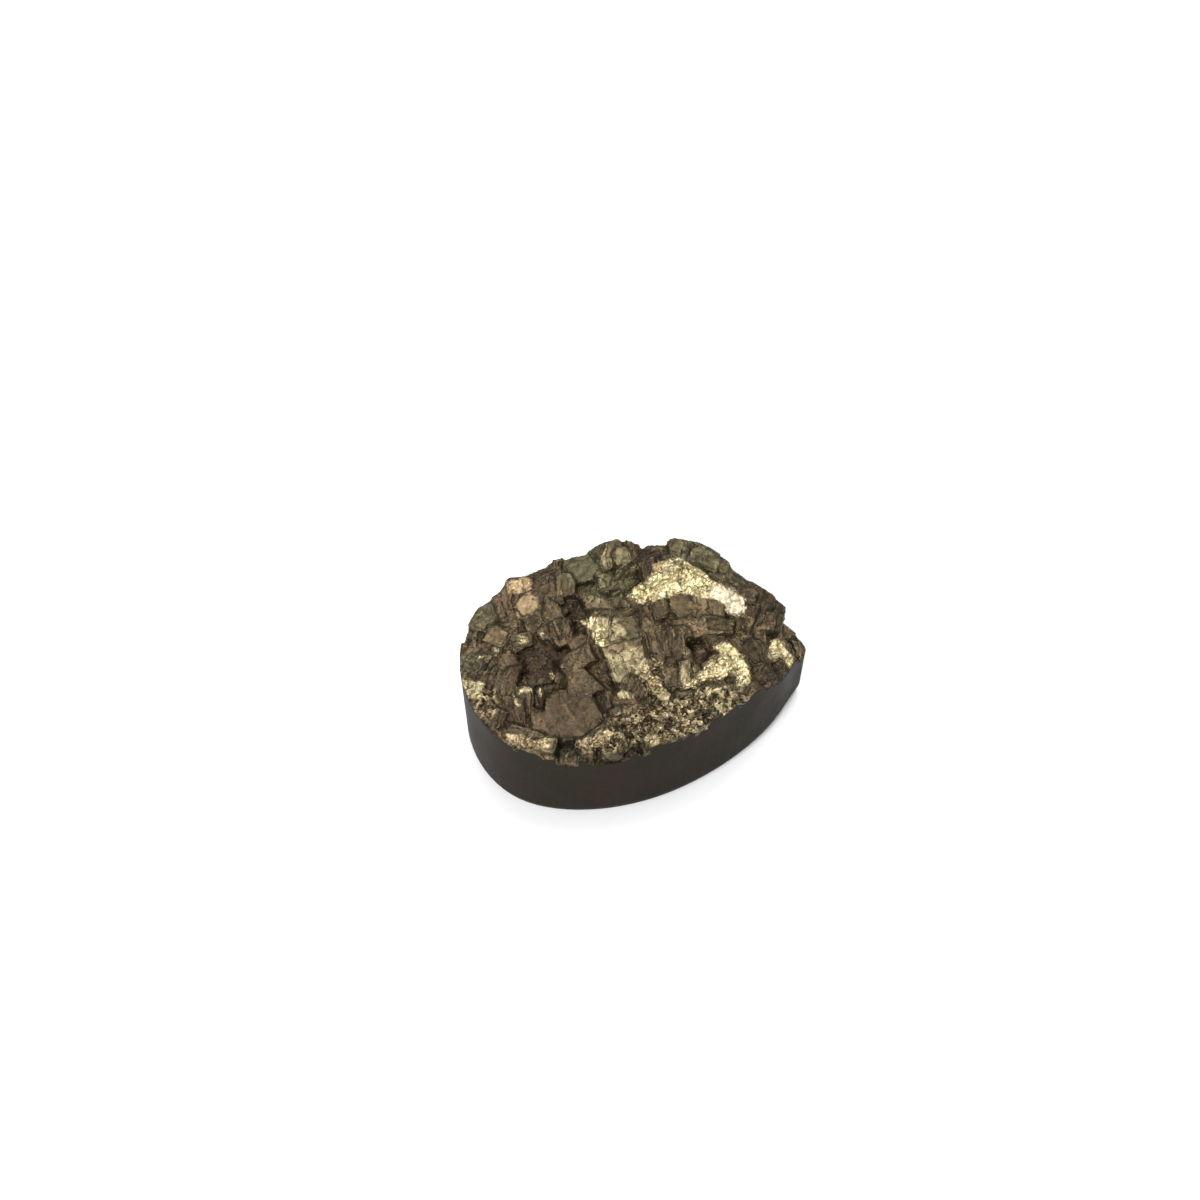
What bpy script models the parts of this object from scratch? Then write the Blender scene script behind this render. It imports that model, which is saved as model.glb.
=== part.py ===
"""A pear-shaped druzy pyrite cabochon: a ground stone with a flat base, a smooth wall and a crust of
intergrown blocky crystals on top. One solid, since the crystals grew as one piece with the stone."""

import math
import random

import bmesh
import bpy
from mathutils import Matrix, Vector

MM = 0.001

# The ground outline, in mm: a pear whose worn tip points along +X.
HALF_LENGTH = 12.0
HALF_WIDTH = 9.305
TAPER = 0.56
TIP_ROUNDING = 0.004
OUTLINE_SEGMENTS = 96
# It was ground by hand, so it is a little uneven. The front shoulder is fuller and the flank by the tip is
# flatter: where, how wide (both in degrees round the outline) and by how much. The wall leans towards the
# tip, so that the base lies back from it.
UNEVENNESS = [(221, 21, 0.3), (338, 12, -0.2)]
LEAN = 0.05
UPRIGHT_HEIGHT = 3.0
# The ground form's height in mm and the scale of the outline there. The bottom edge is worn round.
WALL_SECTIONS = [(0.0, 0.945), (0.12, 0.967), (0.4, 0.986), (0.9, 1.0), (13.0, 1.0)]

# Each crystal is a block under its top face: x, y and z of the top face's centre, its length and width in
# mm, then yaw, tilt towards the front and tilt towards the right in degrees. It is rooted this far below the
# crust's mean height, and its sides slope outwards on the way down.
ROOT_DEPTH = 2.6
BED_DEPTH = 9.0
SIDE_SLOPE = 13
CORNER_SHIFT = 0.11
# Corners are chipped: how often, how much of the shorter side goes, and in degrees how steep the chip is and
# how far it may turn either way.
CHIP_CHANCE = 0.45
CHIP_SIZE = (0.2, 0.42)
CHIP_SLOPE = (25, 60)
CHIP_TURN = 23
# A larger face carries a second growth step: how long and wide the face has to be, how often it has one,
# the step's length and width over the face's, and its height in mm.
STEPPED_SIZE = 1.2
STEP_CHANCE = 0.5
STEP_LENGTH = (0.45, 0.75)
STEP_WIDTH = (0.6, 0.95)
STEP_HEIGHT = (0.12, 0.22)

BEDS = [
    (-2.6, 0.0, 7.5, 21.0, 20.0, 0, 5, 0),
    (10.2, 0.0, 5.6, 9.0, 20.0, 0, 6, 33),
]

REAR = [
    (-0.3, 6.6, 10.3, 2.1, 2.0, 4, 12, 0),
    (1.0, 6.8, 9.95, 1.3, 2.4, -10, 5, 30),
    (-2.5, 6.4, 9.1, 2.6, 2.6, -6, 2, -8),
    (-4.2, 7.0, 8.3, 1.9, 1.4, 22, 0, -6),
    (-1.1, 5.1, 8.7, 3.1, 1.8, 12, 24, 0),
    (0.1, 5.2, 8.9, 1.1, 1.6, 30, 20, 10),
    (-3.95, 5.3, 9.1, 1.4, 1.7, -12, 10, -5),
    (-5.0, 6.1, 8.3, 1.4, 1.8, 20, 5, 0),
    (-5.3, 4.8, 8.9, 1.7, 2.2, 28, 12, 0),
    (-7.1, 5.8, 8.75, 1.8, 1.3, -3, 20, -4),
    (-6.8, 4.3, 8.7, 1.7, 1.7, 5, 18, -6),
    (-8.1, 4.9, 8.6, 0.7, 2.2, 4, 6, -10),
    (-8.8, 4.5, 8.5, 0.8, 2.0, 8, 4, -14),
    (-10.0, 3.9, 8.75, 2.2, 2.2, 40, -4, -12),
    (-9.3, 2.3, 8.5, 2.2, 1.7, -35, 6, -6),
    (-8.1, 2.5, 8.3, 1.4, 1.4, 8, 10, 0),
    (2.2, 6.5, 9.7, 1.5, 1.6, 20, 6, -18),
    (1.7, 5.2, 8.9, 0.6, 1.9, -34, 14, -10),
]

RIDGE = [
    (3.1, 6.1, 9.85, 1.6, 1.8, 25, 10, -20),
    (4.4, 5.9, 10.9, 2.0, 1.9, 15, 16, -10),
    (5.8, 5.0, 10.85, 1.9, 1.9, -25, 14, 12),
    (6.9, 4.2, 9.95, 1.8, 1.8, -30, 12, 28),
    (7.9, 3.6, 9.0, 1.6, 1.6, -20, 6, 26),
    (1.3, 3.8, 9.0, 2.3, 1.3, 35, 32, 0),
    (2.9, 4.5, 9.6, 3.1, 2.8, 8, 34, 0),
    (5.0, 3.9, 9.6, 2.5, 2.3, -14, 42, 0),
    (6.5, 3.0, 9.3, 1.9, 1.8, -30, 42, 0),
    (7.4, 2.1, 8.9, 1.6, 1.8, -25, 44, 5),
]

LEFT = [
    (-4.9, 3.0, 9.0, 1.7, 1.6, -28, 14, 6),
    (-4.6, 1.5, 8.8, 1.5, 1.8, 8, 20, -4),
    (-5.8, 1.8, 8.6, 1.0, 1.4, 32, 14, -14),
    (-6.3, 2.8, 8.7, 1.6, 1.6, 28, 8, -10),
    (-7.3, 1.5, 8.4, 1.4, 1.1, 15, 22, 0),
    (-6.4, -0.5, 7.9, 3.4, 2.4, 5, 4, 0),
    (-8.9, -0.4, 8.3, 2.2, 1.8, 25, 6, -6),
    (-10.9, 0.0, 8.45, 1.6, 2.0, 20, 10, -14),
    (-11.0, -2.0, 8.3, 1.6, 1.7, -15, 22, -10),
    (-9.5, -2.4, 8.4, 0.9, 2.8, -28, 14, -4),
    (-8.5, -2.0, 8.5, 0.8, 2.8, -22, 16, 4),
    (-7.6, -2.9, 8.3, 1.2, 1.6, -8, 18, 6),
    (-3.9, -0.9, 8.8, 2.2, 1.2, 20, 22, -6),
    (-3.5, 0.7, 8.6, 1.2, 1.0, 30, 18, 0),
]

CENTRE = [
    (-2.2, 1.4, 9.3, 1.8, 2.0, -12, 22, -20),
    (-0.6, 1.2, 9.4, 2.4, 2.0, -6, 20, 0),
    (0.8, 1.0, 9.0, 1.5, 1.5, 38, 18, 8),
    (-1.9, 3.3, 9.1, 1.9, 1.2, 4, 24, -4),
    (-0.45, 3.2, 9.0, 1.3, 1.1, 22, 22, 0),
    (-0.4, 2.4, 9.1, 0.8, 0.6, 10, 20, 0),
    (1.2, 2.4, 8.6, 2.1, 1.7, -20, 10, 10),
    (-0.6, -1.4, 9.1, 2.4, 2.2, 8, 26, -8),
    (0.4, -0.7, 8.9, 1.5, 1.4, 22, 22, 0),
    (-1.1, -2.5, 8.6, 1.1, 1.5, 18, 26, -10),
    (-0.2, -3.2, 8.2, 1.7, 1.3, -15, 20, 0),
    (-1.0, -3.9, 8.1, 1.3, 1.0, -10, 34, 0),
    (-0.6, -4.8, 8.0, 1.5, 1.1, 12, 16, 4),
    (1.1, -3.2, 8.5, 0.9, 3.4, 31, 24, -6),
    (1.5, -1.7, 8.4, 1.2, 1.3, 10, 16, 0),
    (1.7, -0.2, 8.7, 1.4, 2.1, 8, 15, 0),
    (2.9, -0.6, 8.7, 1.3, 2.5, -12, 16, -8),
    (3.2, -2.7, 8.4, 0.8, 1.6, -4, 26, -10),
    (2.2, -2.8, 8.1, 1.2, 1.5, 20, 18, 0),
    (3.8, -1.6, 8.3, 0.6, 1.7, 22, 18, 12),
]

RIGHT = [
    (2.4, 2.4, 8.9, 1.3, 1.3, 15, 15, 0),
    (3.6, 2.3, 9.1, 1.5, 2.0, -3, 14, 0),
    (4.9, 2.1, 9.0, 1.3, 2.0, 8, 12, 6),
    (6.0, 2.0, 8.9, 1.5, 1.4, -12, 14, -6),
    (4.0, 0.5, 8.8, 2.3, 1.5, -4, 16, 0),
    (6.1, 0.5, 8.7, 2.3, 1.3, -6, 16, 4),
    (7.8, 0.1, 8.2, 1.2, 1.0, -8, 18, 6),
    (8.8, -0.1, 7.8, 1.0, 1.3, -12, 18, 8),
    (9.3, 2.4, 8.6, 2.0, 3.0, -12, 4, 10),
    (10.2, 1.6, 8.1, 1.4, 2.4, -18, 4, 16),
    (8.8, 0.9, 8.3, 2.2, 1.4, -10, 14, 4),
    (11.3, 0.0, 5.15, 1.9, 1.9, 10, 20, 8),
    (5.6, -0.5, 8.3, 1.3, 1.3, 25, 16, 0),
    (7.0, -0.7, 8.0, 1.3, 1.0, 0, 18, 4),
    (8.2, -1.4, 7.7, 2.5, 1.9, 8, 22, 8),
    (8.5, -2.6, 7.4, 1.8, 1.1, 20, 18, 10),
    (4.8, -2.9, 8.2, 3.5, 0.8, 14, 28, 0),
    (5.5, -2.5, 8.3, 1.7, 1.6, 35, 28, 0),
    (6.2, -1.5, 8.3, 1.2, 1.8, 37, 28, 0),
    (7.1, -2.9, 8.1, 1.1, 2.0, 5, 30, 0),
    (7.3, -4.3, 7.9, 1.5, 1.2, 40, 20, 0),
    (9.9, -0.8, 7.1, 1.4, 1.4, 20, 26, 10),
    (10.7, -1.3, 6.1, 0.9, 2.0, 15, 26, 14),
]

FRONT = [
    (-4.4, -4.5, 8.05, 4.7, 3.2, -6, 7, 0),
    (-3.6, -2.3, 8.4, 2.8, 2.3, 23, 9, 3),
    (-6.8, -4.7, 8.0, 1.1, 2.1, 4, 10, 0),
    (-8.5, -4.2, 8.2, 1.5, 2.7, -6, 12, -6),
    (-7.7, -4.9, 7.8, 0.8, 1.6, 0, 10, 0),
    (-8.0, -5.8, 8.3, 2.7, 1.1, -24, 26, -5),
    (-6.6, -6.6, 8.2, 1.4, 1.0, -16, 22, 0),
    (-9.9, -4.2, 8.4, 1.5, 1.7, -40, 14, -10),
    (-3.0, -6.5, 8.2, 2.1, 1.1, 25, 26, 0),
    (-2.3, -7.3, 8.0, 1.3, 1.3, 0, 20, 0),
    (-4.0, -7.1, 8.1, 1.1, 1.3, 10, 20, 0),
    (0.4, -7.0, 7.5, 1.5, 1.0, -5, 30, 0),
    (2.8, -6.4, 7.9, 1.7, 0.9, 25, 26, 0),
    (-0.4, -5.6, 8.0, 1.0, 1.0, 15, 30, 0),
    (5.2, -4.3, 7.9, 2.7, 1.3, 2, 14, 0),
    (-9.2, -5.9, 8.0, 1.5, 1.0, -36, 20, -6),
    (-7.6, -7.0, 7.9, 1.6, 1.0, -24, 22, 0),
    (-6.3, -7.5, 7.5, 1.0, 0.9, -10, 18, 0),
    (-4.7, -7.6, 7.7, 0.9, 1.0, 14, 22, 0),
    (3.8, -6.2, 8.1, 1.4, 0.9, 20, 18, 0),
    (4.9, -5.7, 8.3, 1.3, 0.9, 32, 16, 4),
    (6.1, -5.1, 8.0, 1.5, 0.9, 26, 16, 6),
    (7.3, -4.7, 7.4, 1.3, 0.9, 35, 18, 8),
]

# Small crystals fill a field's gaps, one in each cell of a jittered grid. Their tops lie a little below the
# crust's mean height, by the sink. Shape is width over length.
SEED = 1
CELL_JITTER = 0.38
FIELDS = [
    {"x": (-12, 12), "y": (-9, 9), "cell": 1.35, "size": (1.1, 1.9), "shape": (0.7, 1.0),
     "yaw": (-45, 45), "tilt": 12, "sink": (0.7, 1.2)},
    {"x": (-1.4, 8.0), "y": (-8, -4.4), "cell": 0.85, "size": (0.5, 1.1), "shape": (0.5, 0.9),
     "yaw": (-45, 45), "tilt": 26, "sink": (0.05, 0.45)},
    {"x": (-11.6, -8.0), "y": (-5.0, 2.6), "cell": 1.0, "size": (1.0, 1.7), "shape": (0.35, 0.6),
     "yaw": (45, 80), "tilt": 11, "sink": (0.1, 0.4)},
    {"x": (7.8, 10.6), "y": (-4.6, -2.0), "cell": 0.75, "size": (1.4, 2.2), "shape": (0.2, 0.35),
     "yaw": (28, 42), "tilt": 14, "sink": (0.7, 1.1)},
    {"x": (8.6, 10.2), "y": (0.8, 3.6), "cell": 0.8, "size": (0.9, 1.6), "shape": (0.3, 0.5),
     "yaw": (48, 78), "tilt": 14, "sink": (-1.1, -0.6)},
]

# The rim has a broken notch at the front.
# x, y, length, width, height of its floor and yaw.
NOTCHES = [
    (-5.3, -7.5, 1.3, 1.9, 6.9, -12),
]
NOTCH_TILT = 20
NOTCH_HEIGHT = 4.0

PYRITE_COLOUR = (0.30, 0.24, 0.15, 1.0)


def druse_height(x, y):
    """The crust's mean height: it rises towards the back and drops towards the tip."""
    drop = max(0.0, min(1.0, (x - 7.0) / 5.0)) ** 1.3 * 3.2
    return 7.9 + 0.09 * (y + 8.0) - drop


def rooted_depth(crystal):
    x, y, z = crystal[:3]
    return z - druse_height(x, y) + ROOT_DEPTH


def even_outline(angle):
    x = HALF_LENGTH * math.cos(angle)
    y = HALF_WIDTH * math.sin(angle) * (math.sin(angle / 2) ** 2 + TIP_ROUNDING) ** (TAPER / 2)
    return x, y


def outline_point(angle):
    """The outline with its fuller and flatter places."""
    x, y = even_outline(angle)
    fuller = 0.0
    for where, spread, most in UNEVENNESS:
        fuller += most * math.exp(-(((math.degrees(angle) - where) / spread) ** 2))
    return x + fuller * math.cos(angle), y + fuller * math.sin(angle)


def near_outline(x, y, margin):
    """Whether a point is inside the even outline grown by a margin."""
    if abs(x) >= HALF_LENGTH + margin:
        return False
    angle = math.acos(max(-1.0, min(1.0, x / (HALF_LENGTH + margin))))
    return abs(y) < even_outline(angle)[1] + margin


def clear_scene():
    for obj in list(bpy.data.objects):
        bpy.data.objects.remove(obj)


def new_collection(name, helper=False):
    collection = bpy.data.collections.new(name)
    bpy.context.scene.collection.children.link(collection)
    collection.hide_render = helper
    return collection


def add_object(name, mesh_data, collection, helper=False):
    mesh = bpy.data.meshes.new(name)
    mesh_data.to_mesh(mesh)
    mesh_data.free()
    obj = bpy.data.objects.new(name, mesh)
    collection.objects.link(obj)
    obj.hide_render = helper
    if helper:
        obj.display_type = "WIRE"
    return obj


def stance(crystal):
    """The place and turn of a crystal's top face."""
    x, y, z, _, _, yaw, front, right = crystal
    turn = (
        Matrix.Rotation(math.radians(front), 4, "X")
        @ Matrix.Rotation(math.radians(right), 4, "Y")
        @ Matrix.Rotation(math.radians(yaw), 4, "Z")
    )
    return Matrix.Translation((x * MM, y * MM, z * MM)) @ turn


def chip(form, corner, size, draw):
    """Cuts one top corner off along a sloping face."""
    slope = math.radians(draw.uniform(*CHIP_SLOPE))
    outward = Vector((corner.x, corner.y, 0)).normalized()
    turned = Matrix.Rotation(math.radians(draw.uniform(-CHIP_TURN, CHIP_TURN)), 3, "Z") @ outward
    facing = turned * math.cos(slope) + Vector((0, 0, math.sin(slope)))
    whole = form.verts[:] + form.edges[:] + form.faces[:]
    cut = bmesh.ops.bisect_plane(
        form, geom=whole, plane_co=corner - outward * size, plane_no=facing, clear_outer=True
    )["geom_cut"]
    rim = [item for item in cut if isinstance(item, bmesh.types.BMEdge)]
    bmesh.ops.contextual_create(form, geom=rim)


def block(name, crystal, depth, draw, collection, helper=True):
    """One blocky crystal under its top face: an uneven, chipped four-sided form that widens downwards."""
    _, _, _, length, width, _, _, _ = crystal
    form = bmesh.new()
    bmesh.ops.create_cube(form, size=1.0)
    corners = {}
    for vert in form.verts:
        corners.setdefault((vert.co.x > 0, vert.co.y > 0), []).append(vert)
    widening = 1 + 2 * depth * math.tan(math.radians(SIDE_SLOPE)) / math.sqrt(length * width)
    tops = []
    for key in sorted(corners):
        shift_x = draw.uniform(-CORNER_SHIFT, CORNER_SHIFT)
        shift_y = draw.uniform(-CORNER_SHIFT, CORNER_SHIFT)
        for vert in corners[key]:
            low = vert.co.z < 0
            spread = widening if low else 1.0
            vert.co.x = (vert.co.x + shift_x) * length * MM * spread
            vert.co.y = (vert.co.y + shift_y) * width * MM * spread
            vert.co.z = -depth * MM if low else 0
            if not low:
                tops.append(vert.co.copy())
    for corner in tops:
        if draw.random() < CHIP_CHANCE:
            chip(form, corner, min(length, width) * MM * draw.uniform(*CHIP_SIZE), draw)
    obj = add_object(name, form, collection, helper)
    obj.matrix_world = stance(crystal)
    return obj


def growth_step(crystal, draw):
    """A smaller face of the same stance, a little above the first and flush with one of its corners."""
    _, _, _, length, width, yaw, front, right = crystal
    step_length = length * draw.uniform(*STEP_LENGTH)
    step_width = width * draw.uniform(*STEP_WIDTH)
    aside = Vector((
        draw.choice((-1, 1)) * (length - step_length) / 2,
        draw.choice((-1, 1)) * (width - step_width) / 2,
        draw.uniform(*STEP_HEIGHT),
    ))
    x, y, z = (stance(crystal) @ (aside * MM)) / MM
    return x, y, z, step_length, step_width, yaw, front, right


def ground_form(collection):
    """The pear-shaped stone that the wheel leaves: a wall that leans a little over a rounded bottom edge."""
    form = bmesh.new()
    ring = bmesh.ops.create_circle(form, cap_ends=True, segments=OUTLINE_SEGMENTS, radius=1.0)["verts"]
    for index, vert in enumerate(ring):
        x, y = outline_point(2 * math.pi * (index + 0.5) / OUTLINE_SEGMENTS)
        vert.co = (x * MM, y * MM, 0)
    height, scale = WALL_SECTIONS[0]
    bmesh.ops.scale(form, verts=form.verts, vec=(scale, scale, 1))
    bmesh.ops.translate(form, verts=form.verts, vec=(-LEAN * UPRIGHT_HEIGHT * MM, 0, 0))
    base = form.faces[:]
    cap = base
    for next_height, next_scale in WALL_SECTIONS[1:]:
        lifted = bmesh.ops.extrude_face_region(form, geom=cap)["geom"]
        if cap != base:
            bmesh.ops.delete(form, geom=cap, context="FACES_ONLY")
        cap = [item for item in lifted if isinstance(item, bmesh.types.BMFace)]
        verts = [item for item in lifted if isinstance(item, bmesh.types.BMVert)]
        growth = next_scale / scale
        middle = Matrix.Translation((LEAN * (UPRIGHT_HEIGHT - height) * MM, 0, 0))
        bmesh.ops.scale(form, verts=verts, vec=(growth, growth, 1), space=middle)
        rise = next_height - height
        bmesh.ops.translate(form, verts=verts, vec=(LEAN * rise * MM, 0, rise * MM))
        height, scale = next_height, next_scale
    bmesh.ops.recalc_face_normals(form, faces=form.faces)
    return add_object("ground_form", form, collection, helper=True)


def small_crystals(field, draw):
    """Seeded blocks on a jittered grid over one field of the crust."""
    cell = field["cell"]
    crystals = []
    for column in range(int((field["x"][1] - field["x"][0]) / cell) + 1):
        for row in range(int((field["y"][1] - field["y"][0]) / cell) + 1):
            x = field["x"][0] + (column + draw.uniform(-CELL_JITTER, CELL_JITTER)) * cell
            y = field["y"][0] + (row + draw.uniform(-CELL_JITTER, CELL_JITTER)) * cell
            length = draw.uniform(*field["size"])
            width = length * draw.uniform(*field["shape"])
            yaw = draw.uniform(*field["yaw"])
            front = draw.uniform(-field["tilt"], field["tilt"])
            right = draw.uniform(-field["tilt"], field["tilt"])
            z = druse_height(x, y) - draw.uniform(*field["sink"])
            if near_outline(x, y, length / 2):
                crystals.append((x, y, z, length, width, yaw, front, right))
    return crystals


def notch(name, cut, collection):
    x, y, length, width, z, yaw = cut
    form = bmesh.new()
    bmesh.ops.create_cube(form, size=1.0)
    bmesh.ops.translate(form, verts=form.verts, vec=(0, 0, 0.5))
    bmesh.ops.scale(form, verts=form.verts, vec=(length * MM, width * MM, NOTCH_HEIGHT * MM))
    obj = add_object(name, form, collection, helper=True)
    turn = Matrix.Rotation(math.radians(NOTCH_TILT), 4, "X") @ Matrix.Rotation(math.radians(yaw), 4, "Z")
    obj.matrix_world = Matrix.Translation((x * MM, y * MM, z * MM)) @ turn
    return obj


def boolean(obj, name, operation, operand):
    modifier = obj.modifiers.new(name, "BOOLEAN")
    modifier.operation = operation
    modifier.solver = "EXACT"
    if isinstance(operand, bpy.types.Collection):
        modifier.operand_type = "COLLECTION"
        modifier.collection = operand
    else:
        modifier.object = operand
    return modifier


def shells(form):
    """The groups of faces that hang together."""
    left = set(form.faces)
    groups = []
    while left:
        group = set()
        front = [left.pop()]
        while front:
            face = front.pop()
            group.add(face)
            near = {other for edge in face.edges for other in edge.link_faces} & left
            left -= near
            front.extend(near)
        groups.append(group)
    return groups


def apply_without_voids(obj):
    """Applies the modifiers and fills the pockets that the crystals closed in between them."""
    graph = bpy.context.evaluated_depsgraph_get()
    form = bmesh.new()
    form.from_mesh(bpy.data.meshes.new_from_object(obj.evaluated_get(graph)))
    inner = sorted(shells(form), key=len)[:-1]
    bmesh.ops.delete(form, geom=[face for group in inner for face in group], context="FACES")
    bmesh.ops.triangulate(form, faces=form.faces)
    obj.modifiers.clear()
    form.to_mesh(obj.data)
    form.free()


def pyrite_material():
    material = bpy.data.materials.new("pyrite")
    material.use_nodes = True
    shader = material.node_tree.nodes["Principled BSDF"]
    shader.inputs["Base Color"].default_value = PYRITE_COLOUR
    shader.inputs["Metallic"].default_value = 0.7
    shader.inputs["Roughness"].default_value = 0.45
    return material


def main():
    clear_scene()
    stone_parts = new_collection("pyrite_cabochon")
    crystals = new_collection("crystals", helper=True)
    cutters = new_collection("cutters", helper=True)

    draw = random.Random(SEED)
    stone = block("pyrite_cabochon", BEDS[0], BED_DEPTH, draw, stone_parts, helper=False)
    stone.data.materials.append(pyrite_material())
    block("tip_bed", BEDS[1], BED_DEPTH, draw, crystals)
    large = REAR + RIDGE + LEFT + CENTRE + RIGHT + FRONT
    wide = [crystal for crystal in large if min(crystal[3:5]) > STEPPED_SIZE]
    stepped = [crystal for crystal in wide if draw.random() < STEP_CHANCE]
    steps = [growth_step(crystal, draw) for crystal in stepped]
    for index, crystal in enumerate(large + steps):
        block(f"crystal_{index:03d}", crystal, rooted_depth(crystal), draw, crystals)
    small = [crystal for field in FIELDS for crystal in small_crystals(field, draw)]
    for index, crystal in enumerate(small):
        block(f"small_crystal_{index:03d}", crystal, rooted_depth(crystal), draw, crystals)

    boolean(stone, "grown_together", "UNION", crystals)
    boolean(stone, "ground_to_a_pear", "INTERSECT", ground_form(cutters))
    for index, cut in enumerate(NOTCHES):
        boolean(stone, f"notch_{index}", "DIFFERENCE", notch(f"notch_{index}", cut, cutters))
    apply_without_voids(stone)


main()
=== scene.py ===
"""The looks of a pear-shaped druzy pyrite cabochon: a crystal crust over a ground wall, on a pale floor."""

import bmesh
import bpy
import numpy as np
from mathutils import Matrix, Vector
from mathutils.bvhtree import BVHTree


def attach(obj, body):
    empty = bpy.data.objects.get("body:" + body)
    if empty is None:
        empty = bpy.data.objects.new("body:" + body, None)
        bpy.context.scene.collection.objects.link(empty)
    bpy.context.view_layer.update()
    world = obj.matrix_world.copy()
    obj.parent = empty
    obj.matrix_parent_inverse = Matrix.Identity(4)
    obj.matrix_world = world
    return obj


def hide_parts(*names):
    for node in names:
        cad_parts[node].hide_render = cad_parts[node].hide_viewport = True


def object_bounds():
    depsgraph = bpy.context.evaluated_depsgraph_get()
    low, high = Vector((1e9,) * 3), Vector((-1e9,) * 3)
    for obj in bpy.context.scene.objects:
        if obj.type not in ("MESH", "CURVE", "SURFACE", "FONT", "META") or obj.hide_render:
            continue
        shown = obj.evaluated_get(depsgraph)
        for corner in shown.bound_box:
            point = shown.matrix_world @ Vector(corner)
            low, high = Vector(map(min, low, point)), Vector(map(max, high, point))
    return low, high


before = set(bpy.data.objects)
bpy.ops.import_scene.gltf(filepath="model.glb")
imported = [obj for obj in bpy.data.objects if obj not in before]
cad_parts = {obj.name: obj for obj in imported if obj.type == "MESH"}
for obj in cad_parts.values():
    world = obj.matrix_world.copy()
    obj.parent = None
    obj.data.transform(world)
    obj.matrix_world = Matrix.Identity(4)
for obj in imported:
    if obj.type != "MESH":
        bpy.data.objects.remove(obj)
cad_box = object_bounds()

NODE = "pyrite_cabochon"
MM = 0.001
TINY = 1e-9

# The camera, in mm, in the frame of the stone: where it stands, what it looks at, and its level line.
CAMERA_PLACE = (-4.32, -58.55, 99.6)
CAMERA_AIM = (-1.45, 9.83, 0.0)
CAMERA_RIGHT = (0.9918, -0.1168, -0.0517)
LENS = 48.0
SENSOR = 36.0
NEAREST_SEEN = 1.0

# The studio: the floor's side in metres, and each soft light's name, place and size in mm, and its watts.
FLOOR_SIZE = 1.2
FLOOR_COLOUR = (0.86, 0.86, 0.87, 1)
FLOOR_ROUGHNESS = 0.6
LIGHTS = [("key", (-90, -140, 190), 120, 0.6), ("top", (40, 90, 230), 160, 0.5)]
WORLD_STRENGTH = 0.55

# The stone's outline, as it was ground, in mm and degrees round it.
HALF_LENGTH = 12.0
HALF_WIDTH = 9.305
TAPER = 0.56
TIP_ROUNDING = 0.004
OUTLINE_SEGMENTS = 96
FINE_SEGMENTS = 4 * OUTLINE_SEGMENTS
UNEVENNESS = [(221, 21, 0.3), (338, 12, -0.2)]
LEAN = 0.05
UPRIGHT_HEIGHT = 3.0
ROUNDED_EDGE_TOP = 0.9

# The crust's mean height, in mm: at the front, its rise per mm towards the back, and its drop at the tip.
FRONT = -8.0
FRONT_HEIGHT = 7.9
RISE = 0.09
TIP_DROP = 3.2
TIP_DROP_START = 7.0
TIP_DROP_LENGTH = 5.0
TIP_DROP_CURVE = 1.3

# The fine mesh, in mm: how near points are made one, its voxels, and what counts as on or near the wall.
WELD = 1e-5
VOXEL = 0.094
ON_WALL = 0.03
NEAR_WALL = 0.3
EDGE_MARGIN = 0.05
MOST_CRUST_ON_WALL = 0.1
# The wall is plain below this height, which drops towards the tip, in mm.
PLAIN_WALL_TOP = 6.4
PLAIN_WALL_DROP = 0.55
PLAIN_WALL_DROP_START = 6.0
PLAIN_WALL_DROP_LENGTH = 6.0
# The share of the ground's triangles that is kept, and how firmly the thinning keeps to the ground.
GROUND_KEPT = 0.08
GROUND_FIRST = 1000.0

# The wear, in mm: how much the blocks are rounded and bent, and how deep a hollow stays as it is.
WEAR_ROUNDS = 3
BEND = 0.16
FILL_ROUNDS = 160
HOLLOW_KEPT = 0.14

# Growth laths: width and length in mm, and seed. Their place drifts, and each flat face draws its own.
LATH = (0.42, 1.7, 22)
SCRATCH = (0.2, 0.8, 32)
LATH_DRIFT = 0.3
FACET_STEP = 7.31

# Grains: size in mm, and seed. Crumbs fill the granular fields, and chips and lobes the bare pyrite.
GRAIN = (0.62, 41)
CRUMB = (0.36, 51)
CHIP = (0.36, 61)
LOBE = (0.8, 161)
UNEVEN_GRAIN = 0.85

# The grooves between laths or grains: their half width in mm.
GROOVE = 0.075
CRUMB_GROOVE = 0.8 * GROOVE
CHIP_GROOVE = 0.6 * GROOVE

# The relief, in mm: how much each kind of grain varies in height, and how deep its grooves are. A crumb whose
# number is CRUMB_LEVEL is as high as the surface.
SURFACE_RELIEF = 0.05
LATH_RELIEF, LATH_DEPTH = 0.065, 0.045
GRAIN_RELIEF, GRAIN_DEPTH = 0.06, 0.04
CRUMB_RELIEF, CRUMB_DEPTH = 0.16, 0.08
CRUMB_LEVEL = 0.6
CRUMB_GRAIN_RELIEF = 0.12
CHIP_RELIEF, CHIP_DEPTH = 0.05, 0.03
LOBE_DEPTH = 0.09

# The ground wall, in mm: its faint unevenness, how far it may bulge to a rounder outline, and its pits.
WALL_RELIEF = 0.006
WALL_DEPTH = 0.004
MOST_BULGE = 0.02
PIT_DEPTH = 0.05
PIT_FLOOR, PIT_RIM = 0.03, 0.09
PITS_PER_MM = 0.9
PIT_SHIFT = 5
PIT_SEED = 81
PITS_LEFT_OUT = 0.55

# How dark, from 0 to 1: the painted shade in the seams and hollows between crystals, and the darkening along
# the grooves between laths and grains.
SEAM_SHADE_DARK = 0.6
WIDE_HOLLOW_SHADE = 0.25
LOBE_LINE_DARK = 0.6
LATH_GROOVE_DARK = 0.6
GRAIN_GROOVE_DARK = 0.8
CHIP_GROOVE_DARK = 0.6
LOBE_GROOVE_DARK = 0.85
# The shares of the laths' relief and groove darkening that calm faces lose.
CALMED_RELIEF = 0.55
CALMED_GROOVE_DARK = 0.5
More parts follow.
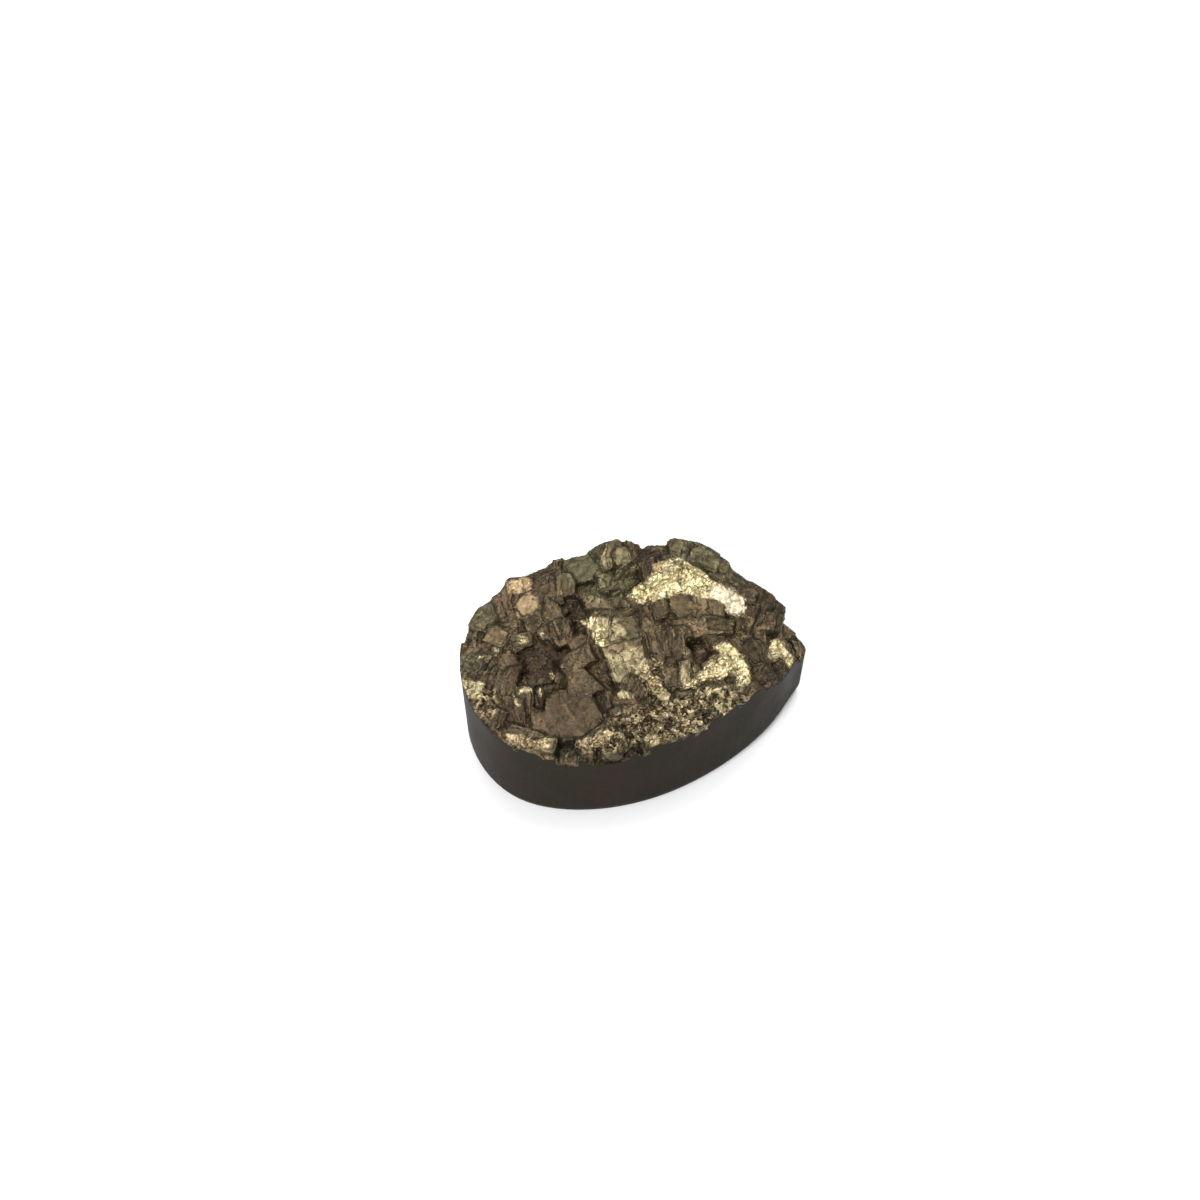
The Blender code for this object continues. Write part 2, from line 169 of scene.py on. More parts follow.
# A hollow is measured against the mean of its surroundings, over this many rounds of neighbours.
HOLLOW_ROUNDS = 3
WIDE_HOLLOW_ROUNDS = 24

# The borders between flat faces: the cosine of the least turn that shows, and the least area in square mm.
LEAST_TURN = 0.93
LEAST_FACE = 0.1

# The borders of patches and ovals: their softness, and how far they wobble and crumble, in mm.
PATCH_BORDER = 0.06
OVAL_BORDER = 0.35
WOBBLE = 0.22
BROKEN_WOBBLE = 0.12
CRUMBLED = 0.3
CRUMBLED_WAY = (0.8, -0.6)

# Noises: features per mm, octaves and seed, or a seed for each axis.
BEND_NOISE = (0.9, 3, (101, 111, 121))
WOBBLE_NOISE = (1.7, 2, (11, 17))
DRIFT_NOISE = (0.8, 3, 21)
SURFACE_NOISE = (2.2, 4, 71)
WALL_NOISE = (0.8, 3, 91)
OCTAVE_STEP = 2.03
OCTAVE_WEIGHT = 0.55
# A grain's warp: features per grain and octaves, and a step from the grain's seed for each axis.
GRAIN_WARP = (1.4, 2)
GRAIN_WARP_STEPS = (0, 7, 14)
# Where the cracks are open: features per mm and seed.
CRACKS_PER_MM = 1.7
CRACK_SEED = 131
# What each flat face draws: a row and a seed for its kind of grain, and for its tone.
KIND_DRAW = (3, 5)
TONE_DRAW = (9, 6)

# The whole-number hash under every noise: a factor for each axis and for the seed, and two that mix.
AXIS_FACTORS = (73856093, 19349663, 83492791)
SEED_FACTOR = 2654435761
MIX_FACTORS = (1274126177, 2246822519)
WORD = 0xFFFFFFFF
SHORT_WORD = 0xFFFFFF


def crust_height(x, y):
    """The crust's mean height in mm: it rises towards the back and drops towards the tip."""
    drop = np.clip((x - TIP_DROP_START) / TIP_DROP_LENGTH, 0, 1) ** TIP_DROP_CURVE * TIP_DROP
    return FRONT_HEIGHT + RISE * (y - FRONT) - drop


def lattice_hash(cell, seed):
    """A number from 0 to 1 for each whole-number cell."""
    i, j, k = (cell[..., axis].astype(np.int64) * factor for axis, factor in enumerate(AXIS_FACTORS))
    n = i ^ j ^ k ^ (seed * SEED_FACTOR)
    n = (n ^ (n >> 13)) * MIX_FACTORS[0] & WORD
    n = (n ^ (n >> 16)) * MIX_FACTORS[1] & WORD
    return ((n ^ (n >> 15)) & SHORT_WORD) / float(SHORT_WORD)


def value_noise(points, seed):
    """Smooth noise from 0 to 1 with features about one unit across."""
    cell = np.floor(points)
    part = points - cell
    part = part * part * (3 - 2 * part)
    total = np.zeros(len(points))
    for corner in np.ndindex(2, 2, 2):
        weight = np.prod(np.where(np.array(corner) == 1, part, 1 - part), axis=1)
        total += weight * lattice_hash(cell + np.array(corner), seed)
    return total


def layered_noise(points, frequency, octaves, seed):
    """Noise about 0, from wide features to fine ones."""
    total, scale, weight = np.zeros(len(points)), frequency, 1.0
    for octave in range(octaves):
        total += weight * (value_noise(points * scale, seed + octave) - 0.5)
        scale *= OCTAVE_STEP
        weight *= OCTAVE_WEIGHT
    return total


def noise_vectors(points, frequency, octaves, seeds):
    """A layered noise for each of the seeds, side by side."""
    return np.stack([layered_noise(points, frequency, octaves, seed) for seed in seeds], axis=1)


def nearest_seeds(points, seed):
    """Of a seeded point in each cell: how far the nearest and the next one are, and the nearest's number."""
    cell = np.floor(points)
    first = np.full(len(points), np.inf)
    second = np.full(len(points), np.inf)
    number = np.zeros(len(points))
    for offset in np.ndindex(3, 3, 3):
        near = cell + np.array(offset) - 1
        place = near + np.stack([lattice_hash(near, seed + axis) for axis in range(3)], axis=1)
        distance = np.linalg.norm(points - place, axis=1)
        closer = distance < first
        second = np.where(closer, first, np.minimum(second, distance))
        number = np.where(closer, lattice_hash(near, seed + 3), number)
        first = np.where(closer, distance, first)
    return first, second, number


def facet_hash(facet, row, seed):
    """A number from 0 to 1 for each flat face."""
    return lattice_hash(np.stack([facet, np.full_like(facet, row), np.zeros_like(facet)], axis=1), seed)


def smooth_step(low, high, value):
    part = np.clip((value - low) / (high - low), 0, 1)
    return part * part * (3 - 2 * part)


def mesh_arrays(mesh):
    """(points, vertex normals, edges) of a mesh."""
    points = np.empty(len(mesh.vertices) * 3)
    normals = np.empty(len(mesh.vertices) * 3)
    edges = np.empty(len(mesh.edges) * 2, np.int32)
    mesh.vertices.foreach_get("co", points)
    mesh.vertices.foreach_get("normal", normals)
    mesh.edges.foreach_get("vertices", edges)
    return points.reshape(-1, 3), normals.reshape(-1, 3), edges.reshape(-1, 2)


def neighbour_mean(values, edges, rounds):
    """The values averaged over each vertex's neighbours, again and again."""
    values = values.astype(float)
    count = np.bincount(edges.ravel(), minlength=len(values)) + 1.0
    for _ in range(rounds):
        total = values.copy()
        np.add.at(total, edges[:, 0], values[edges[:, 1]])
        np.add.at(total, edges[:, 1], values[edges[:, 0]])
        values = total / (count if values.ndim == 1 else count[:, None])
    return values


def ground_outline(segments):
    """The stone's plan outline: a pear with a fuller shoulder and, by the tip, a flatter flank."""
    angle = 2 * np.pi * (np.arange(segments) + 0.5) / segments
    x = HALF_LENGTH * np.cos(angle)
    y = HALF_WIDTH * np.sin(angle) * (np.sin(angle / 2) ** 2 + TIP_ROUNDING) ** (TAPER / 2)
    fuller = np.zeros(segments)
    for where, spread, most in UNEVENNESS:
        fuller += most * np.exp(-(((np.degrees(angle) - where) / spread) ** 2))
    return np.stack([x + fuller * np.cos(angle), y + fuller * np.sin(angle)], axis=1)


def outline_depth(place, outline):
    """How far each plan place is inside a closed outline. Outside it, the distance is negative."""
    inside = np.zeros(len(place), bool)
    nearest = np.full(len(place), np.inf)
    for start, end in zip(outline, np.roll(outline, -1, axis=0)):
        side = end - start
        crosses = (start[1] > place[:, 1]) != (end[1] > place[:, 1])
        reach = start[0] + (place[:, 1] - start[1]) * side[0] / (side[1] or TINY)
        inside ^= crosses & (place[:, 0] < reach)
        along = np.clip(((place - start) @ side) / (side @ side), 0, 1)
        nearest = np.minimum(nearest, np.linalg.norm(place - start - along[:, None] * side, axis=1))
    return np.where(inside, nearest, -nearest)


def wall_depth(points, segments=OUTLINE_SEGMENTS):
    """How far points are behind the ground wall, which leans towards the tip."""
    upright = points[:, :2] - np.stack([LEAN * (points[:, 2] - UPRIGHT_HEIGHT), points[:, 2] * 0], axis=1)
    return outline_depth(upright, ground_outline(segments))


def form_in_mm(mesh):
    """The mesh for editing, in mm, with coinciding points made one."""
    form = bmesh.new()
    form.from_mesh(mesh)
    bmesh.ops.remove_doubles(form, verts=form.verts, dist=WELD * MM)
    bmesh.ops.scale(form, verts=form.verts, vec=(1 / MM,) * 3)
    return form


class Facets:
    """The CAD solid's flat faces: each has a number, a normal, an area and its longest edge's direction."""

    COPLANAR = 0.9995

    def __init__(self, node):
        form = form_in_mm(node.data)
        form.faces.ensure_lookup_table()
        form.normal_update()
        self.tree = BVHTree.FromBMesh(form)
        self.of_face = np.full(len(form.faces), -1)
        self.normal, self.along, self.area = [], [], []
        for face in form.faces:
            if self.of_face[face.index] < 0:
                self.collect(face)
        corners = np.array([[tuple(vert.co) for vert in face.verts] for face in form.faces])
        depth = wall_depth(corners.reshape(-1, 3)).reshape(-1, 3)
        low = (corners[:, :, 2] < ROUNDED_EDGE_TOP + EDGE_MARGIN).all(axis=1)
        self.ground_face = (np.abs(depth) < ON_WALL).all(axis=1) | low
        self.normal, self.along, self.area = map(np.array, (self.normal, self.along, self.area))
        form.free()

    def collect(self, start):
        """Numbers the flat face that holds this triangle, and measures it."""
        number = len(self.normal)
        self.of_face[start.index] = number
        front, area, longest, along = [start], 0.0, 0.0, Vector((1, 0, 0))
        while front:
            face = front.pop()
            area += face.calc_area()
            for edge in face.edges:
                flat = False
                for other in edge.link_faces:
                    if other is face or other.normal.dot(start.normal) < self.COPLANAR:
                        continue
                    flat = True
                    if self.of_face[other.index] < 0:
                        self.of_face[other.index] = number
                        front.append(other)
                if not flat and edge.calc_length() > longest:
                    longest, along = edge.calc_length(), edge.verts[1].co - edge.verts[0].co
        self.normal.append(tuple(start.normal))
        self.along.append(tuple(along.normalized()))
        self.area.append(area)

    def nearest(self, points):
        """The CAD face under each point."""
        return np.array([self.tree.find_nearest(Vector(point))[2] for point in points])


def apply_modifiers(piece):
    graph = bpy.context.evaluated_depsgraph_get()
    mesh = bpy.data.meshes.new_from_object(piece.evaluated_get(graph))
    piece.modifiers.clear()
    old = piece.data
    piece.data = mesh
    bpy.data.meshes.remove(old)


def fine_copy(node):
    """A copy of the node, remeshed finely enough to carry the grain of the crystals."""
    mesh = node.data.copy()
    piece = bpy.data.objects.new("crystal_stone", mesh)
    bpy.context.scene.collection.objects.link(piece)
    form = form_in_mm(mesh)
    form.to_mesh(mesh)
    form.free()
    remesh = piece.modifiers.new("remesh", "REMESH")
    remesh.mode = "VOXEL"
    remesh.voxel_size = VOXEL
    apply_modifiers(piece)
    return piece


def thin_the_ground(piece):
    """Leaves fewer triangles on the ground wall and base, which are smooth."""
    points = np.array([vert.co for vert in piece.data.vertices])
    past_start = np.clip(points[:, 0] - PLAIN_WALL_DROP_START, 0, PLAIN_WALL_DROP_LENGTH)
    smooth = points[:, 2] < PLAIN_WALL_TOP - PLAIN_WALL_DROP * past_start
    smooth &= (np.abs(wall_depth(points)) < NEAR_WALL) | (points[:, 2] < ROUNDED_EDGE_TOP)
    group = piece.vertex_groups.new(name="ground")
    group.add(np.nonzero(smooth)[0].tolist(), 1.0, "REPLACE")
    decimate = piece.modifiers.new("thin", "DECIMATE")
    decimate.ratio = 1 - smooth.mean() * (1 - GROUND_KEPT)
    decimate.vertex_group = "ground"
    decimate.vertex_group_factor = GROUND_FIRST
    apply_modifiers(piece)
    piece.vertex_groups.clear()


# The crust seen from the photograph's side, in mm: plan places on the crust's mean height.
# Each patch is bare, bright pyrite whose brightness is partly a painted reflection: its strength and its
# outline.
BARE_HIGHLIGHT_PATCHES = [
    (1.0, [(0.2, 3.65), (0.6, 4.1), (1.0, 4.4), (1.5, 4.75), (2.0, 5.0), (2.3, 5.35), (2.2, 5.8), (2.5, 6.15),
           (2.9, 6.3), (3.3, 6.0), (3.5, 6.3), (4.2, 6.25), (4.7, 5.9), (5.1, 5.4), (5.5, 5.05), (5.9, 4.6),
           (6.1, 4.1), (6.6, 3.95), (7.0, 3.4), (7.6, 3.1), (8.1, 2.7), (8.2, 2.2), (8.0, 1.7), (7.6, 1.25),
           (6.9, 1.25), (6.65, 1.7), (6.7, 2.2), (6.4, 2.45), (6.0, 2.7), (5.4, 2.75), (5.0, 2.9),
           (4.4, 3.25), (3.9, 3.45), (2.9, 3.2), (2.2, 3.2), (1.8, 3.05), (1.3, 2.9), (0.9, 3.1)]),
    (1.0, [(5.35, -0.95), (5.75, -0.75), (6.3, -0.75), (6.6, -1.0), (6.9, -1.5), (6.95, -2.0), (7.3, -2.1),
           (7.5, -2.5), (7.55, -3.3), (7.4, -3.8), (6.9, -4.2), (6.5, -4.05), (6.6, -3.7), (6.85, -3.3),
           (6.75, -2.9), (6.4, -2.4), (5.9, -1.8), (5.7, -1.3)]),
    (0.9, [(2.8, -3.75), (3.1, -3.95), (3.7, -3.85), (4.5, -3.6), (5.4, -3.4), (6.1, -3.25), (6.6, -3.35),
           (6.7, -3.0), (6.3, -2.4), (5.8, -1.75), (5.5, -1.85), (5.0, -2.1), (4.7, -2.35), (4.4, -2.7),
           (4.0, -3.0), (3.5, -3.35)]),
    (0.85, [(9.1, -1.6), (9.3, -0.9), (9.6, -0.3), (10.1, -0.05), (10.6, -0.3), (10.5, -0.6), (10.9, -1.1),
            (11.0, -1.8), (10.85, -2.65), (10.5, -2.2), (10.35, -1.6), (9.9, -1.4), (9.3, -1.85)]),
    (0.9, [(-3.1, 2.15), (-2.8, 2.35), (-2.3, 2.45), (-1.9, 2.3), (-1.95, 1.8), (-1.5, 1.3), (-1.5, 1.05),
           (-2.1, 0.95), (-1.6, 0.6), (-1.4, 0.3), (-2.1, 0.1), (-2.35, 0.3), (-2.45, 0.9), (-2.6, 1.5)]),
    (0.6, [(-8.0, 6.1), (-7.0, 6.2), (-6.2, 6.1), (-6.4, 5.5), (-6.4, 4.8), (-6.9, 5.0), (-7.9, 5.1)]),
    (0.3, [(-7.5, 4.5), (-7.0, 4.8), (-6.2, 4.7), (-5.9, 4.4), (-5.95, 3.6), (-6.5, 3.3), (-7.0, 2.95),
           (-7.4, 2.9), (-7.6, 3.4), (-7.4, 4.0)]),
    (0.22, [(-2.0, -0.45), (-1.2, -0.6), (-0.3, -0.25), (0.6, -0.05), (0.75, -1.0), (0.1, -1.4),
            (-0.4, -2.0), (-1.0, -2.7), (-1.4, -2.95), (-1.6, -2.5), (-1.55, -1.8), (-1.7, -1.1)]),
    (0.35, [(-1.9, 2.3), (-0.9, 2.1), (-0.4, 1.4), (-0.2, 0.9), (-1.4, 0.3), (-1.6, 0.6), (-1.5, 1.3)]),
    (0.5, [(0.1, -2.0), (0.5, -1.6), (1.1, -1.3), (1.3, -1.6), (1.2, -2.3), (1.6, -3.2), (1.95, -4.5),
           (1.7, -4.8), (1.2, -4.1), (0.6, -3.4), (0.1, -2.6)]),
    (0.5, [(-1.5, -3.5), (-1.1, -3.3), (-0.3, -3.8), (-0.5, -4.0), (-1.3, -4.0)]),
    (0.25, [(2.9, -2.3), (3.25, -2.1), (3.4, -2.8), (3.5, -3.4), (3.0, -3.5)]),
    (0.3, [(3.3, -1.0), (3.7, -1.1), (3.9, -2.6), (3.7, -2.9), (3.5, -1.8)]),
    (0.6, [(-11.8, -1.1), (-11.2, -1.2), (-10.3, -1.4), (-10.5, -1.9), (-10.7, -2.7), (-11.1, -2.6),
           (-11.6, -2.3)]),
    (0.6, [(-9.1, -5.3), (-8.6, -5.5), (-8.0, -5.6), (-7.5, -6.0), (-6.9, -6.3), (-6.4, -6.5), (-6.5, -6.75),
           (-7.2, -6.65), (-8.1, -6.4), (-9.0, -5.9)]),
    (0.6, [(-4.0, -6.7), (-3.2, -6.3), (-2.3, -6.1), (-1.8, -6.3), (-2.2, -6.7), (-3.0, -7.1), (-3.5, -7.35),
           (-3.9, -7.2)]),
    (0.55, [(-0.3, -7.0), (0.5, -6.8), (1.0, -6.9), (0.95, -7.5), (0.2, -7.6)]),
    (0.5, [(2.2, -6.9), (3.0, -6.3), (3.5, -6.1), (3.4, -6.4), (2.6, -6.9)]),
    (0.8, [(-0.6, -5.6), (-0.1, -5.3), (0.1, -5.7), (-0.4, -5.9)]),
    (0.5, [(-1.0, -6.9), (-0.4, -6.4), (0.0, -6.1), (-0.2, -6.4), (-0.7, -6.9)]),
]
# The bright patch's right end is whiter, a painted white highlight: x, y, half length and half width.
WHITE_HIGHLIGHT_OVAL = (7.3, 2.3, 1.6, 1.5)
# Small bright glints: x, y, half length, half width and strength.
GLINTS = [
    (-7.35, 1.35, 0.35, 0.25, 0.9), (-10.3, 0.5, 0.16, 0.12, 0.9), (-9.2, 0.85, 0.16, 0.16, 0.6),
    (-7.4, -2.4, 0.25, 0.2, 0.9), (-7.75, -2.55, 0.2, 0.15, 0.9), (-8.15, -3.1, 0.1, 0.4, 0.6),
    (-6.5, -2.7, 0.08, 0.3, 0.6), (-5.6, -1.6, 0.15, 0.25, 0.6), (-10.15, -3.85, 0.12, 0.12, 0.9),
    (-5.9, 1.55, 0.12, 0.12, 0.8), (1.55, -1.7, 0.18, 0.18, 0.7), (1.3, -1.3, 0.15, 0.1, 0.6),
    (-1.95, -0.95, 0.1, 0.1, 0.6), (7.2, -1.8, 0.1, 0.2, 0.5), (8.3, 2.5, 0.1, 0.12, 0.6),
    (6.7, 3.65, 0.15, 0.15, 0.9), (7.35, 3.35, 0.22, 0.12, 0.9),
]
# Tarnish tints and darker regions: x, y, half length, half width, then how much darker (below 0, lighter),
# how olive and how plum it is.
TARNISH_AND_DARKNESS = [
    (-6.3, -0.5, 2.0, 1.5, 0.45, 0.0, 1.0),
    (-3.5, 2.2, 0.6, 1.8, 0.5, 0.0, 0.6),
    (2.0, 6.4, 1.0, 1.3, 0.5, 0.0, 0.6),
    (4.6, -1.2, 0.9, 0.8, 0.05, 0.0, 1.0),
    (1.1, 2.4, 1.1, 0.7, 0.3, 0.0, 0.6),
    (-2.7, 6.3, 1.7, 1.4, 0.0, 1.0, 0.0),
    (-1.0, 4.9, 1.8, 1.1, 0.25, 0.8, 0.0),
    (5.2, 6.3, 2.2, 1.5, -0.1, 0.8, 0.0),
    (7.5, 4.8, 1.3, 1.0, -0.3, 0.6, 0.0),
    (-10.0, 3.9, 1.4, 1.1, 0.0, 0.6, 0.0),
    (-10.9, 0.0, 0.9, 0.9, 0.0, 0.7, 0.0),
    (9.8, 2.2, 1.5, 2.0, 0.3, 0.2, 0.5),
    (-5.3, -7.1, 0.9, 1.0, 0.75, 0.8, 0.0),
    (9.4, -3.0, 1.7, 1.3, 0.3, 0.0, 0.5),
    (-4.4, -4.6, 2.6, 1.9, 0.45, 0.0, 0.4),
    (5.5, -5.6, 2.8, 0.5, 0.5, 0.9, 0.0),
    (-8.6, -4.4, 1.6, 1.4, 0.05, 0.0, 0.7),
    (11.4, 0.3, 0.8, 0.6, 0.4, 0.5, 0.0),
    (0.2, 7.9, 0.8, 0.4, 0.5, 0.3, 0.0),
    (-7.2, 4.8, 1.6, 2.0, 0.0, 0.0, 0.9),
    (-0.2, 6.3, 1.8, 1.4, -0.85, 0.5, 0.0),
    (-0.2, 1.3, 1.7, 1.1, -0.55, 0.4, 0.0),
    (-0.6, -1.5, 1.5, 1.4, -0.3, 0.4, 0.0),
    (-1.3, 3.3, 1.6, 0.9, -0.2, 0.3, 0.0),
]
# Smooth faces, where the laths hardly show: x, y, half length and half width.
CALM = [(-4.4, -4.6, 2.7, 1.9), (-6.3, -0.5, 2.0, 1.4), (-3.6, -2.3, 1.6, 1.2), (-7.2, 4.8, 1.6, 2.0),
        (-2.7, 6.3, 1.7, 1.4), (-9.4, 2.4, 1.2, 1.0), (4.9, 2.1, 2.6, 1.2)]
# Fields where the crust is a mass of small grains: x, y, half length and half width.
GRANULAR = [(2.6, -5.9, 5.4, 1.3), (-2.5, -6.9, 2.0, 0.7), (4.8, -4.6, 1.7, 0.7), (-10.2, -3.0, 0.7, 1.2),
            (1.0, -2.7, 0.8, 1.5), (-7.9, -6.2, 1.6, 0.5)]


def view_line():
    """The direction in which the photograph was taken."""
    line = np.array(CAMERA_AIM) - np.array(CAMERA_PLACE)
    return line / np.linalg.norm(line)


def crust_view(points):
    """Each point's plan place where the photograph's line of sight through it meets the mean height."""
    sight = points - np.array(CAMERA_PLACE)
    over = points[:, 2] - crust_height(points[:, 0], points[:, 1])
    return points[:, :2] - sight[:, :2] * (over / sight[:, 2])[:, None]


def inside_patch(place, outline):
    """1 inside an outline and 0 outside it, with a narrow soft border."""
    return smooth_step(-PATCH_BORDER, PATCH_BORDER, outline_depth(place, np.array(outline)))


def inside_oval(place, x, y, half_length, half_width):
    """1 inside an oval and 0 outside it, with a wide soft border."""
    distance = np.hypot((place[:, 0] - x) / half_length, (place[:, 1] - y) / half_width)
    return 1 - smooth_step(1 - OVAL_BORDER, 1 + OVAL_BORDER, distance)


def inside_ovals(place, ovals):
    return np.max([inside_oval(place, *oval) for oval in ovals], axis=0)


def laths(points, facet, along, across, width, length, seed):
    """Uneven growth laths along each face. Returns each one's number and how far its border is, in mm."""
    drift = LATH_DRIFT * layered_noise(points, *DRIFT_NOISE)
    place = np.stack([
        (np.einsum("ij,ij->i", points, across) + drift) / width,
        (np.einsum("ij,ij->i", points, along) + drift) / length,
        facet * FACET_STEP,
    ], axis=1)
    first, second, number = nearest_seeds(place, seed)
    return number, (second - first) * width / 2


def grains(points, size, seed):
    """Uneven grains. Returns each one's number and how far its border is, in mm."""
    warp = noise_vectors(points / size, *GRAIN_WARP, [seed + step for step in GRAIN_WARP_STEPS])
    first, second, number = nearest_seeds(points / size + UNEVEN_GRAIN * warp, seed)
    return number, (second - first) * size / 2


def groove_along(border, width=GROOVE):
    """1 on a grain's border and 0 from a groove's width away."""
    return 1 - smooth_step(0.0, width, border)


def face_borders(facet, facets, edges):
    """1 on the points where two sizeable flat faces meet at a clear angle, and 0 elsewhere."""
    start, end = facet[edges].T
    turn = np.einsum("ij,ij->i", facets.normal[start], facets.normal[end])
    sizeable = np.minimum(facets.area[start], facets.area[end]) > LEAST_FACE
    meet = (start != end) & (turn < LEAST_TURN) & sizeable
    border = np.zeros(len(facet))
    border[edges[meet].ravel()] = 1
    return border


def smooth_the_ground(mesh, crust):
    """Shades the ground wall smooth, and leaves the crystals' faces flat."""
    corner = np.empty(len(mesh.loops), np.int32)
    first = np.empty(len(mesh.polygons), np.int32)
    mesh.loops.foreach_get("vertex_index", corner)
    mesh.polygons.foreach_get("loop_start", first)
    mesh.polygons.foreach_set("use_smooth", np.maximum.reduceat(crust[corner], first) < MOST_CRUST_ON_WALL)


class Skin:
    """The fine mesh, in mm, and what its relief and its colours are made from at each of its points."""

    def __init__(self, mesh, facets):
        self.mesh = mesh
        self.points, self.normals, self.edges = mesh_arrays(mesh)
        face = facets.nearest(self.points)
        facet = facets.of_face[face]
        ground = neighbour_mean(facets.ground_face[face].astype(float), self.edges, 1)
        self.crust = 1 - smooth_step(0.2, 0.8, ground)
        self.wear()
        self.read_facets(facet, facets)
        self.read_grains()
        self.find_fields()
        self.sort_surfaces()

    def wear(self):
        """Rounds the sharp edges, fills the deep hollows, and bends the blocks a little out of true."""
        worn = neighbour_mean(self.points, self.edges, WEAR_ROUNDS)
        wide = neighbour_mean(self.points, self.edges, FILL_ROUNDS) - self.points
        worn[:, 2] += np.clip(wide[:, 2] - HOLLOW_KEPT, 0, None)
        bend = BEND * noise_vectors(self.points, *BEND_NOISE)
        moved = self.points + self.crust[:, None] * (worn - self.points + bend)
        self.mesh.vertices.foreach_set("co", moved.ravel())
        self.mesh.update()
        self.points, self.normals, self.edges = mesh_arrays(self.mesh)

    def read_facets(self, facet, facets):
        """The borders, the tone and the growth laths of the flat face under each point."""
        self.border = neighbour_mean(face_borders(facet, facets, self.edges), self.edges, 1)
        self.kind = facet_hash(facet, *KIND_DRAW)
        self.tone = facet_hash(facet, *TONE_DRAW)
        along = facets.along[facet]
        across = np.cross(facets.normal[facet], along)
        lines = (self.points, facet, along, across)
        self.lath_number, lath_border = laths(*lines, *LATH)
        self.lath_groove = groove_along(lath_border)
        self.scratch_number, _ = laths(*lines, *SCRATCH)

    def read_grains(self):
        """The grains of each size: crumbs in granular fields, chips and lobes on bare pyrite."""
        self.grain_number, grain_border = grains(self.points, *GRAIN)
        self.crumb_number, crumb_border = grains(self.points, *CRUMB)
        self.chip_number, chip_border = grains(self.points, *CHIP)
        _, lobe_border = grains(self.points, *LOBE)
        self.grain_groove = groove_along(grain_border)
        self.crumb_groove = groove_along(crumb_border, CRUMB_GROOVE)
        self.chip_groove = groove_along(chip_border, CHIP_GROOVE)
        self.lobe_groove = groove_along(lobe_border)

    def find_fields(self):
        """Where the crust is granular, calm, or bare with a painted highlight, in the places that the tables
        give.
        """
        place = crust_view(self.points)
        wobble = noise_vectors(self.points, *WOBBLE_NOISE)
        self.place = place + WOBBLE * wobble
        crumbled = CRUMBLED * (self.crumb_number - 0.5)[:, None] * np.array(CRUMBLED_WAY)
        broken = place + BROKEN_WOBBLE * wobble + crumbled
        self.granular = inside_ovals(self.place, GRANULAR)
        self.calm = inside_ovals(self.place, CALM)
        bare_highlight = np.zeros(len(place))
        for strength, outline in BARE_HIGHLIGHT_PATCHES:
            bare_highlight = np.maximum(bare_highlight, strength * inside_patch(broken, outline))
        for *oval, strength in GLINTS:
            bare_highlight = np.maximum(bare_highlight, strength * inside_oval(broken, *oval))
        # Painted reflection: the bright patches and glints show only on faces turned towards the camera.
        self.bare_highlight = bare_highlight * (smooth_step(-0.1, 0.25, -(self.normals @ view_line())) * self.crust)

    def sort_surfaces(self):
        """Striated or grainy outside the granular fields, and bare pyrite with a painted highlight in the
        highlight patches.
        """
        self.striated = smooth_step(0.3, 0.4, self.kind) * (1 - self.granular)
        self.grainy = (1 - self.striated) * (1 - self.granular)
        self.bare_highlit = smooth_step(0.4, 0.8, self.bare_highlight)
        self.open_crack = smooth_step(0.38, 0.6, value_noise(self.points * CRACKS_PER_MM, CRACK_SEED))

    def crust_lift(self):
        """How far the grain stands out from the worn blocks, in mm."""
        lath = LATH_RELIEF * (self.lath_number - 0.5) - LATH_DEPTH * self.lath_groove
        grain = GRAIN_RELIEF * (self.grain_number - 0.5) - GRAIN_DEPTH * self.grain_groove
        crumb = CRUMB_RELIEF * (self.crumb_number - CRUMB_LEVEL)
        crumb = crumb + CRUMB_GRAIN_RELIEF * (self.grain_number - 0.5) - CRUMB_DEPTH * self.crumb_groove
        chip = CHIP_RELIEF * (self.chip_number - 0.5) - CHIP_DEPTH * self.chip_groove
        lift = SURFACE_RELIEF * layered_noise(self.points, *SURFACE_NOISE)
        lift += self.striated * (1 - CALMED_RELIEF * self.calm) * lath
        lift += self.grainy * grain
        lift += self.granular * crumb
        lift += self.bare_highlit * (chip - LOBE_DEPTH * self.lobe_groove)
        return lift

    def wall_lift(self):
        """How far the ground wall stands out, in mm: faint unevenness, small pits, and a rounder outline."""
        pit_distance, _, pit_number = nearest_seeds(self.points * PITS_PER_MM + PIT_SHIFT, PIT_SEED)
        pits = (1 - smooth_step(PIT_FLOOR, PIT_RIM, pit_distance)) * (pit_number > PITS_LEFT_OUT)
        lift = WALL_RELIEF * layered_noise(self.points, *WALL_NOISE) - PIT_DEPTH * pits - WALL_DEPTH
        on_wall = (1 - self.crust) * (self.points[:, 2] > ROUNDED_EDGE_TOP)
        return lift + on_wall * np.clip(wall_depth(self.points, FINE_SEGMENTS), 0, MOST_BULGE)

    def shape(self):
        """Moves the points into the relief, without leaving the CAD box, and turns the mesh to metres."""
        lift = self.crust * self.crust_lift() + (1 - self.crust) * self.wall_lift()
        low, high = (np.array(corner) / MM for corner in cad_box)
        self.moved = np.clip(self.points + self.normals * lift[:, None], low, high)
        self.mesh.vertices.foreach_set("co", (self.moved * MM).ravel())
        smooth_the_ground(self.mesh, self.crust)
        self.mesh.update()

    def hollow_over(self, rounds):
        """How far each point lies under its surroundings, in mm. The rounds say how wide those are."""
        over = neighbour_mean(self.moved, self.edges, rounds) - self.moved
        return np.einsum("ij,ij->i", over, self.normals)

